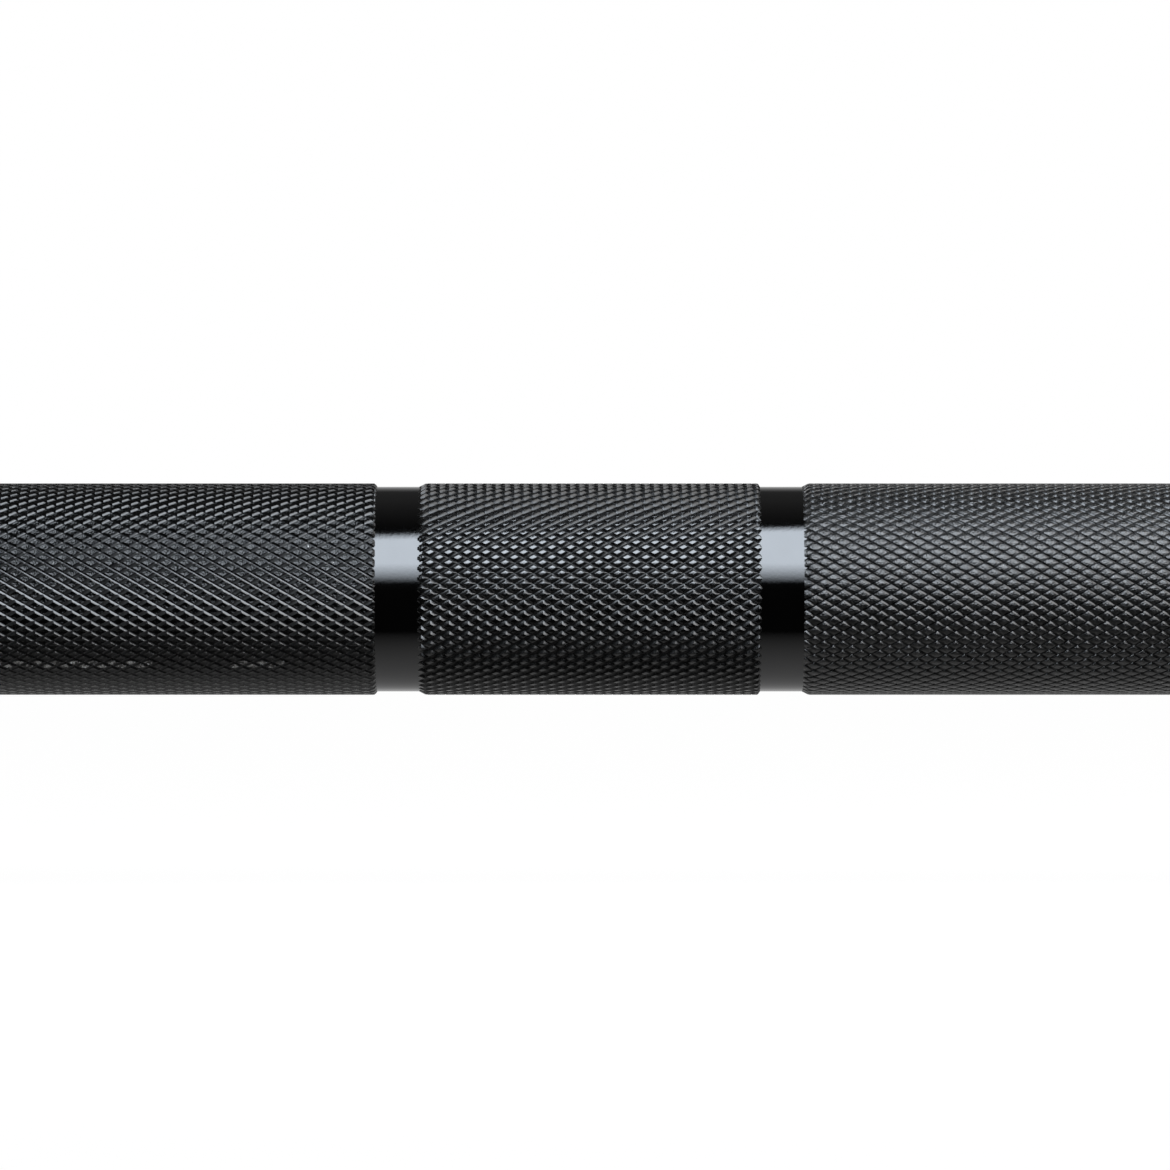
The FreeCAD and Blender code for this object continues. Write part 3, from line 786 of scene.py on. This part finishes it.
def effect(tree, group, **values):
    """Places a shared effect in a material with its own values and gives its first output."""
    inputs = {socket.replace("_", " "): value for socket, value in values.items()}
    return add_node(tree, "Group", inputs, node_tree=group).outputs[0]


def over(tree, under, colour, mask):
    """A colour laid over another where a mask is 1."""
    inputs = {"A": under, "B": (*colour, 1), "Factor": mask}
    return add_node(tree, "Mix", inputs, data_type="RGBA").outputs["Result"]


def tinted(tree, mask, dark, light, *limits):
    """A mask turned into a colour between two."""
    return over(tree, (*dark, 1), light, spread(tree, mask, 0, 1, *limits))


def dress(material, colour, rough, relief, height, strength=1.0):
    """Feeds a shader its colour and roughness, and raises the surface by a mask."""
    tree = material.node_tree
    bump = add_node(tree, "Bump", {"Height": relief, "Distance": height, "Strength": strength})
    shader = tree.nodes["Principled BSDF"].inputs
    feed(tree, shader["Base Color"], colour)
    feed(tree, shader["Roughness"], rough)
    feed(tree, shader["Normal"], bump.outputs["Normal"])


# %% [markdown]
# The black coat is a thin hard film over steel, so it is a dark metal: it has no colour of its own
# and mirrors about a fifth of the light. The smooth stretches are polished, with only the faintest
# lathe lines and pits.

# %% Black coat of the smooth stretches
SMOOTH_DARK, SMOOTH_LIGHT = (0.180, 0.180, 0.182), (0.200, 0.200, 0.202)
SMOOTH_ROUGH = 0.05, 0.09
SMOOTH_RELIEF = 0.005 * MM
LINES_SHARE = 0.4

coat_smooth, tree = new_material("coat_smooth", metallic=1.0)
cloud = effect(tree, clouds, Scale=90.0)
lines = math_node(tree, "MULTIPLY", effect(tree, lathe_lines, Scale=2500.0), LINES_SHARE)
pits = effect(tree, clouds, Scale=2500.0)
dress(
    coat_smooth, tinted(tree, cloud, SMOOTH_DARK, SMOOTH_LIGHT),
    spread(tree, cloud, *SMOOTH_ROUGH), math_node(tree, "ADD", lines, pits), SMOOTH_RELIEF,
)
shaft_smooth.data.materials.append(coat_smooth)
print("smooth coat on", shaft_smooth.name)

# %% [markdown]
# On the knurl each set of flanks took its own polish from the wheel. The lands kept the grain of
# the blank: dull and dark in the inner zone, full and shiny in the middle one. Here and there the
# coat is worn through on a land and a speck of bare steel shows. The inner zone also has two
# scuffs along one line, where something hard rubbed the bar and tore the metal. Painting all this
# by hand would take an image, so masks made from the phase map and from noise pick the places.

# %% Finish settings for each zone
Finish = namedtuple(
    "Finish", "falling_rough rising_rough rising_shade land_rough land_shade grain scuffs"
)
# rising_shade is the rising flanks' colour: painted shade in the middle zone's deeper grooves, where
# it is darker than the coat
knurl_finish = {
    "inner": Finish(
        falling_rough=0.22, rising_rough=0.36, rising_shade=0.175, land_rough=0.20,
        land_shade=0.088, grain=0.11 * MM,
        scuffs=[(345 * MM, 373 * MM), (383.4 * MM, 390.5 * MM)],
    ),
    "middle": Finish(
        falling_rough=0.30, rising_rough=0.36, rising_shade=0.120, land_rough=0.18,
        land_shade=0.215, grain=0.03 * MM, scuffs=[],
    ),
    "outer": Finish(
        falling_rough=0.30, rising_rough=0.30, rising_shade=0.185, land_rough=0.34,
        land_shade=0.190, grain=0.12 * MM, scuffs=[],
    ),
}
print("finishes for", list(knurl_finish))

# %% Helpers: where the scuffs are
SCUFF_ANGLE = math.radians(-45)
SCUFF_HALF = math.radians(2.5)


def within(tree, value, start, end):
    """1 where a value lies between two limits."""
    off = math_node(tree, "ABSOLUTE", math_node(tree, "SUBTRACT", value, (start + end) / 2))
    return math_node(tree, "LESS_THAN", off, (end - start) / 2)


def scuffed(tree, stretches):
    """A mask of a rub along one line of the bar, over some stretches of it."""
    place = add_node(tree, "TexCoord", {}).outputs["Object"]
    parts = add_node(tree, "SeparateXYZ", {0: place}).outputs
    towards_camera = math_node(tree, "MULTIPLY", parts["Y"], -1.0)
    angle = math_node(tree, "ARCTAN2", parts["Z"], towards_camera)
    line = within(tree, angle, SCUFF_ANGLE - SCUFF_HALF, SCUFF_ANGLE + SCUFF_HALF)
    along = 0.0
    for start, end in stretches:
        along = math_node(tree, "ADD", along, within(tree, parts["X"], start, end))
    return math_node(tree, "MULTIPLY", line, along)


# %% Black coat of the knurl
COAT_DARK, COAT_LIGHT = (0.165, 0.165, 0.166), (0.205, 0.205, 0.207)
BARE_STEEL = (0.74, 0.73, 0.71)
UNEVEN = 0.85, 1.15
SPECK_BARE = 0.4
SPECK_RANGE = 0.68, 0.76
RUB_RANGE = 0.42, 0.56
SCUFF_ROUGH = 0.5
SCUFF_TEAR = 6.0  # how much coarser the torn metal of a scuff is than the grain around it


def knurl_coat(name, zone, finish):
    """The coat of one zone, told apart on its lands, falling flanks and rising flanks."""
    material, tree = new_material(name, metallic=1.0)
    land = effect(
        tree, knurl_parts, Falling_land=zone.falling.land, Rising_land=zone.rising.land,
        Falling_depth=zone.falling.depth / MM, Rising_depth=zone.rising.depth / MM,
    )
    falling = land.node.outputs["Falling flank"]
    rising = math_node(tree, "SUBTRACT", 1.0, falling)
    cloud = effect(tree, clouds, Scale=700.0)
    speck = effect(tree, clouds, Scale=1500.0)
    bare = spread(tree, speck, 0.0, SPECK_BARE, *SPECK_RANGE)
    grain = math_node(tree, "SUBTRACT", effect(tree, clouds, Scale=4000.0, Detail=1.0), 0.5)
    if finish.scuffs:
        patches = spread(tree, speck, 0.0, 1.0, *RUB_RANGE)
        rub = math_node(tree, "MULTIPLY", scuffed(tree, finish.scuffs), patches)
        bare = math_node(tree, "MAXIMUM", bare, rub)
        tear = math_node(tree, "ADD", math_node(tree, "MULTIPLY", rub, SCUFF_TEAR), 1.0)
        grain = math_node(tree, "MULTIPLY", grain, tear)
    bare = math_node(tree, "MULTIPLY", bare, land)

    coat = tinted(tree, cloud, COAT_DARK, COAT_LIGHT)
    # painted shade: the rising flanks get their own colour, darker than the coat in the middle
    # zone's grooves
    coat = over(tree, coat, (finish.rising_shade,) * 3, rising)
    coat = over(tree, coat, (finish.land_shade,) * 3, land)
    coat = over(tree, coat, BARE_STEEL, bare)
    rough = spread(tree, falling, finish.rising_rough, finish.falling_rough, 0, 1)
    rough = spread(tree, land, rough, finish.land_rough, 0, 1)
    rough = math_node(tree, "MULTIPLY", rough, spread(tree, cloud, *UNEVEN))
    rough = math_node(tree, "MAXIMUM", rough, math_node(tree, "MULTIPLY", bare, SCUFF_ROUGH))
    dress(material, coat, rough, math_node(tree, "MULTIPLY", grain, land), finish.grain)
    return material


for zone_name, finish in knurl_finish.items():
    coat = knurl_coat(f"coat_{zone_name}_knurl", knurl_zones[zone_name], finish)
    mesh = knurl_pieces[zone_name][0].data
    for material in (coat, coat_smooth):
        mesh.materials.append(material)
    print(mesh.name, "has", [material.name for material in mesh.materials])

# %% [markdown]
# The sleeves and collars are chrome with a turned satin face. Plates leave long rub marks on the
# sleeve, so its colour and roughness are streaked along the bar. The collar keeps clean lathe lines
# and the cap has a plain black coat. These two, and most pieces inside the sleeve, differ only in
# their values, so one helper makes them all: cloudy colour, uneven roughness and a fine relief.

# %% Chrome and the cap's coat


def cloudy_finish(name, metallic, dark, light, rough, cloud_scale, relief, height, strength=1.0):
    """A finish with cloudy colour and roughness, and a relief given as an effect and its scale."""
    material, tree = new_material(name, metallic)
    cloud = effect(tree, clouds, Scale=cloud_scale)
    group, scale = relief
    dress(
        material, tinted(tree, cloud, dark, light), spread(tree, cloud, *rough),
        effect(tree, group, Scale=scale), height, strength,
    )
    return material


CLEAN_CHROME, RUBBED_CHROME = (0.72, 0.72, 0.73), (0.58, 0.58, 0.59)
CLEAN_ROUGH, RUBBED_ROUGH = 0.24, 0.42
SLEEVE_LINES = 0.02 * MM

sleeve_chrome, tree = new_material("sleeve_chrome", metallic=1.0)
marks = effect(tree, slide_marks, Scale=500.0, Amount=0.6)
dress(
    sleeve_chrome, tinted(tree, marks, CLEAN_CHROME, RUBBED_CHROME, 0, 1),
    spread(tree, marks, CLEAN_ROUGH, RUBBED_ROUGH, 0, 1),
    effect(tree, lathe_lines, Scale=2200.0), SLEEVE_LINES,
)
collar_chrome = cloudy_finish(
    "collar_chrome", metallic=1.0, dark=(0.70, 0.70, 0.71), light=(0.76, 0.76, 0.77),
    rough=(0.16, 0.26), cloud_scale=70.0, relief=(lathe_lines, 2000.0), height=0.01 * MM,
)
cap_coat = cloudy_finish(
    "cap_coat", metallic=0.0, dark=(0.012, 0.012, 0.013), light=(0.03, 0.03, 0.032),
    rough=(0.30, 0.48), cloud_scale=160.0, relief=(clouds, 2500.0), height=0.04 * MM,
    strength=0.5,
)
for node, material in (
    ("sleeve_tube", sleeve_chrome), ("collar", collar_chrome), ("end_cap", cap_coat),
):
    end_pieces[node].data.materials.append(material)
    print(node, "has", material.name)

# %% [markdown]
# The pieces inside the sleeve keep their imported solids. They get the finishes that their makers
# give them: oiled sintered bronze, ground washers, drawn cups, pressed cages, polished needles,
# phosphated rings and a rubber seal.

# %% Finishes of the pieces inside the sleeve
INSIDE_LINES = 4000.0
Metal = namedtuple("Metal", "dark light rough cloud_scale lines_height pieces")
inside_metals = {
    "oiled_bronze": Metal(
        (0.42, 0.24, 0.09), (0.66, 0.43, 0.19), (0.28, 0.48), 600.0, 0.01 * MM,
        ["inner_bushing", "outer_bushing"],
    ),
    "ground_steel": Metal(
        (0.44, 0.44, 0.45), (0.56, 0.56, 0.56), (0.22, 0.36), 300.0, 0.02 * MM,
        ["inner_thrust_washer", "outer_thrust_washer"],
    ),
    "drawn_steel": Metal(
        (0.48, 0.48, 0.49), (0.60, 0.60, 0.61), (0.20, 0.32), 250.0, 0.01 * MM,
        ["inner_bearing_cup", "outer_bearing_cup"],
    ),
    "pressed_steel": Metal(
        (0.34, 0.34, 0.35), (0.46, 0.46, 0.47), (0.30, 0.45), 400.0, 0.01 * MM,
        ["inner_bearing_cage", "outer_bearing_cage"],
    ),
    "needle_steel": Metal(
        (0.60, 0.60, 0.61), (0.70, 0.70, 0.71), (0.08, 0.16), 300.0, 0.004 * MM,
        ["inner_bearing_rollers", "outer_bearing_rollers"],
    ),
    "spring_black": Metal(
        (0.06, 0.06, 0.06), (0.14, 0.14, 0.13), (0.38, 0.55), 900.0, 0.01 * MM,
        ["shaft_snap_ring", "end_cap_ring"],
    ),
}
seal_rubber = cloudy_finish(
    "seal_rubber", metallic=0.0, dark=(0.018, 0.018, 0.018), light=(0.04, 0.04, 0.04),
    rough=(0.6, 0.8), cloud_scale=500.0, relief=(clouds, 3000.0), height=0.03 * MM, strength=0.5,
)
finish_of = {"dust_seal": seal_rubber}
for name, metal in inside_metals.items():
    material = cloudy_finish(
        name, 1.0, metal.dark, metal.light, metal.rough, metal.cloud_scale,
        (lathe_lines, INSIDE_LINES), metal.lines_height,
    )
    finish_of.update({piece: material for piece in metal.pieces})
for name, material in finish_of.items():
    for side in ("right", "left"):
        mesh = nodes[f"{side}_{name}"].data
        mesh.materials.clear()
        mesh.materials.append(material)
print("finished", 2 * len(finish_of), "inside pieces")

# %% [markdown]
# ## The studio
# The ring marks are mirrors, so they show the studio: a soft panel in front and above, a dark room
# behind the camera and overhead, and a pale floor and backdrop behind. An area lamp would be even
# all over, but the marks show a panel that fades towards its lower edge as a softbox does, and
# whose upper left corner is folded away. So it is a sheet with five corners that glows by its UV
# map.

# %% Soft panel: the sheet
PANEL_DISTANCE = 0.38
PANEL_LOW, PANEL_HIGH = math.radians(7), math.radians(76)
PANEL_LEFT, PANEL_RIGHT = centre_x - 0.13, centre_x + 0.34
FOLD_LOW = 0.615  # share of the panel's height where the folded corner begins
FOLD_END = centre_x + 0.052

panel_outline = [  # place along the bar and share of the height
    (PANEL_LEFT, 0), (PANEL_RIGHT, 0), (PANEL_RIGHT, 1), (FOLD_END, 1), (PANEL_LEFT, FOLD_LOW),
]
tilt = (PANEL_LOW + PANEL_HIGH) / 2
half_height = PANEL_DISTANCE * math.tan((PANEL_HIGH - PANEL_LOW) / 2)
panel_mesh = bpy.data.meshes.new("soft_panel")
panel_mesh.from_pydata(
    [(x, (2 * share - 1) * half_height, 0) for x, share in panel_outline], [],
    [range(len(panel_outline))],
)
for corner, place in zip(panel_mesh.uv_layers.new(name="sheet").data, panel_outline):
    corner.uv = place
sheet = bpy.data.objects.new("soft_panel", panel_mesh)
sheet.location = (0, -PANEL_DISTANCE * math.cos(tilt), PANEL_DISTANCE * math.sin(tilt))
sheet.rotation_euler = (math.pi / 2 - tilt, 0, 0)
sheet.visible_camera = False
bpy.context.scene.collection.objects.link(sheet)
print("panel at", [round(v, 3) for v in sheet.location])

# %% Soft panel: its glow
PANEL_STRENGTH = 2.85
EDGE_GLOW = 0.02
KNEE_SHARE, KNEE_GLOW = 0.045, 0.10
FULL_SHARE = 0.33
FOLD_FADE = 0.12
NEAR_TINT, FAR_TINT = (0.90, 0.99, 1.09), (0.56, 0.56, 0.56)
SIDE_FADE = centre_x + 0.07, centre_x + 0.20

panel_material = bpy.data.materials.new("soft_panel")
panel_material.use_nodes = True
tree = panel_material.node_tree
tree.nodes.clear()
sheet_map = add_node(tree, "UVMap", {}, uv_map="sheet")
parts = add_node(tree, "SeparateXYZ", {0: sheet_map.outputs["UV"]}).outputs
fade = add_node(tree, "ValToRGB", {"Fac": parts["Y"]})
stops = fade.color_ramp.elements
stops[0].position, stops[0].color = 0.0, (EDGE_GLOW, EDGE_GLOW, EDGE_GLOW, 1)
stops[1].position, stops[1].color = FULL_SHARE, (1, 1, 1, 1)
stops.new(KNEE_SHARE).color = (KNEE_GLOW, KNEE_GLOW, KNEE_GLOW, 1)
steepness = (1 - FOLD_LOW) / (FOLD_END - PANEL_LEFT)
rise = math_node(tree, "MULTIPLY", parts["X"], steepness)
fold = math_node(tree, "ADD", rise, FOLD_LOW - PANEL_LEFT * steepness)
under_fold = math_node(tree, "SUBTRACT", fold, parts["Y"])
edge = spread(tree, under_fold, 0.0, PANEL_STRENGTH, 0.0, FOLD_FADE)
glow = add_node(tree, "Emission", {
    "Color": tinted(tree, parts["X"], NEAR_TINT, FAR_TINT, *SIDE_FADE),
    "Strength": math_node(tree, "MULTIPLY", fade.outputs["Color"], edge),
})
add_node(tree, "OutputMaterial", {"Surface": glow.outputs[0]})
panel_mesh.materials.append(panel_material)
print("panel glows at up to", PANEL_STRENGTH)

# %% [markdown]
# Two overhead lamps, one over each sleeve, keep the chrome alive when the bar is seen whole. They
# stand outside what the ring marks can mirror into the lens.

# %% Lamps over the sleeves
LAMP_SIZE = 0.9, 0.6
LAMP_X, LAMP_Y, LAMP_Z = 1.06, -0.30, 0.50
LAMP_WATTS = 2.6

for side, hand in (("right", 1), ("left", -1)):
    lamp = bpy.data.lights.new(f"{side}_lamp", "AREA")
    lamp.shape = "RECTANGLE"
    lamp.size, lamp.size_y = LAMP_SIZE
    lamp.energy = LAMP_WATTS
    holder = bpy.data.objects.new(f"{side}_lamp", lamp)
    holder.location = (hand * LAMP_X, LAMP_Y, LAMP_Z)
    holder.rotation_euler = (math.atan2(-LAMP_Y, LAMP_Z), 0, 0)
    holder.visible_camera = False
    bpy.context.scene.collection.objects.link(holder)
    print(holder.name, "at", [round(v, 3) for v in holder.location])

# %% [markdown]
# The floor is a plain pale sheet that the collars rest on. To the lens it is white with the bar's
# faint shadow left in it. Shiny pieces see it with painted shade: dark on the camera's side,
# brightening under the bar to pale behind it. Light Path tells the rays apart, which keeps the light
# on the bar itself plain.

# %% Floor: the sheet
FLOOR_GAP = 0.5 * MM
FLOOR_HALF = 30.0

floor_z = cad_box[0][2] - FLOOR_GAP
floor_mesh = bpy.data.meshes.new("floor")
floor_mesh.from_pydata(
    [(x * FLOOR_HALF, y * FLOOR_HALF, floor_z) for x, y in ((-1, -1), (1, -1), (1, 1), (-1, 1))],
    [], [(0, 1, 2, 3)],
)
floor = bpy.data.objects.new("floor", floor_mesh)
bpy.context.scene.collection.objects.link(floor)
print("floor at z =", round(floor_z, 4))

# %% Floor: its finish
FLOOR_COLOUR = (0.85, 0.85, 0.85, 1)
FLOOR_ROUGH = 0.9
SHADOW_SHARE = 0.08
FLOOR_GLOW = 1.05
# painted shade: shiny pieces see the floor dark in front of the bar, brightening under it to pale
# behind
FLOOR_PAINTED_SHADE, FLOOR_PALE = 0.005, 0.55  # what shiny pieces see of it, in front and behind
PAINTED_SHADE_EDGE = -0.042, 0.062


def ray_kinds(tree):
    """Masks of the rays that come from the lens and of those that shiny pieces send out."""
    rays = add_node(tree, "LightPath", {}).outputs
    shiny = math_node(tree, "MAXIMUM", rays["Is Glossy Ray"], rays["Is Transmission Ray"])
    return rays["Is Camera Ray"], shiny


floor_material = bpy.data.materials.new("floor_pale")
floor_material.use_nodes = True
tree = floor_material.node_tree
matt = tree.nodes["Principled BSDF"]
matt.inputs["Base Color"].default_value = FLOOR_COLOUR
matt.inputs["Roughness"].default_value = FLOOR_ROUGH
matt.inputs["Specular IOR Level"].default_value = 0.0
place = add_node(tree, "NewGeometry", {}).outputs["Position"]
parts = add_node(tree, "SeparateXYZ", {0: place}).outputs
from_lens, shiny = ray_kinds(tree)
# painted shade on the floor's glow for shiny pieces: dark in front of and under the bar, pale behind
# it
shiny_view = spread(tree, parts["Y"], FLOOR_PAINTED_SHADE, FLOOR_PALE, *PAINTED_SHADE_EDGE)
to_lens = math_node(tree, "MULTIPLY", from_lens, FLOOR_GLOW)
to_shiny = math_node(tree, "MULTIPLY", shiny, shiny_view)
white = add_node(tree, "Emission", {"Strength": math_node(tree, "ADD", to_lens, to_shiny)})
shown = math_node(tree, "MULTIPLY", from_lens, 1 - SHADOW_SHARE)
mix = add_node(tree, "MixShader", {
    "Fac": math_node(tree, "MAXIMUM", shown, shiny), 1: matt.outputs[0], 2: white.outputs[0],
})
feed(tree, tree.nodes["Material Output"].inputs["Surface"], mix.outputs[0])
floor_mesh.materials.append(floor_material)
print("floor keeps", SHADOW_SHARE, "of its shadow")

# %% [markdown]
# The world is white to the lens. Shiny pieces see a pale backdrop low behind the bar that darkens
# upward and towards the camera, as in a studio with its room lights off. Everything else gets an
# even soft fill.

# %% World
FILL = 0.35
BACKDROP_GLOW = 0.75
BACKDROP_EDGE = 0.2, 0.9  # from the side of the bar to straight behind it
BACKDROP_HEIGHT = 0.0, 0.6
ROOM_FRONT, ROOM_BACK = 0.006, 0.056
ROOM_FADE = -0.3, 0.48

world = bpy.data.worlds.new("studio")
bpy.context.scene.world = world
world.use_nodes = True
tree = world.node_tree
direction = add_node(tree, "TexCoord", {}).outputs["Generated"]
parts = add_node(tree, "SeparateXYZ", {0: direction}).outputs
behind = spread(tree, parts["Y"], 0.0, 1.0, *BACKDROP_EDGE)
low_sky = spread(tree, parts["Z"], BACKDROP_GLOW, 0.0, *BACKDROP_HEIGHT)
overhead = spread(tree, parts["Y"], ROOM_FRONT, ROOM_BACK, *ROOM_FADE)
shiny_view = math_node(tree, "ADD", overhead, math_node(tree, "MULTIPLY", behind, low_sky))
from_lens, shiny = ray_kinds(tree)
plain = math_node(tree, "SUBTRACT", 1.0, math_node(tree, "MAXIMUM", shiny, from_lens))
to_shiny = math_node(tree, "MULTIPLY", shiny, shiny_view)
to_rest = math_node(tree, "ADD", to_shiny, math_node(tree, "MULTIPLY", plain, FILL))
backdrop = tree.nodes["Background"].inputs
backdrop["Color"].default_value = (1, 1, 1, 1)
feed(tree, backdrop["Strength"], math_node(tree, "ADD", from_lens, to_rest))
bpy.context.scene.view_settings.view_transform = "Standard"
print("world fills at", FILL)
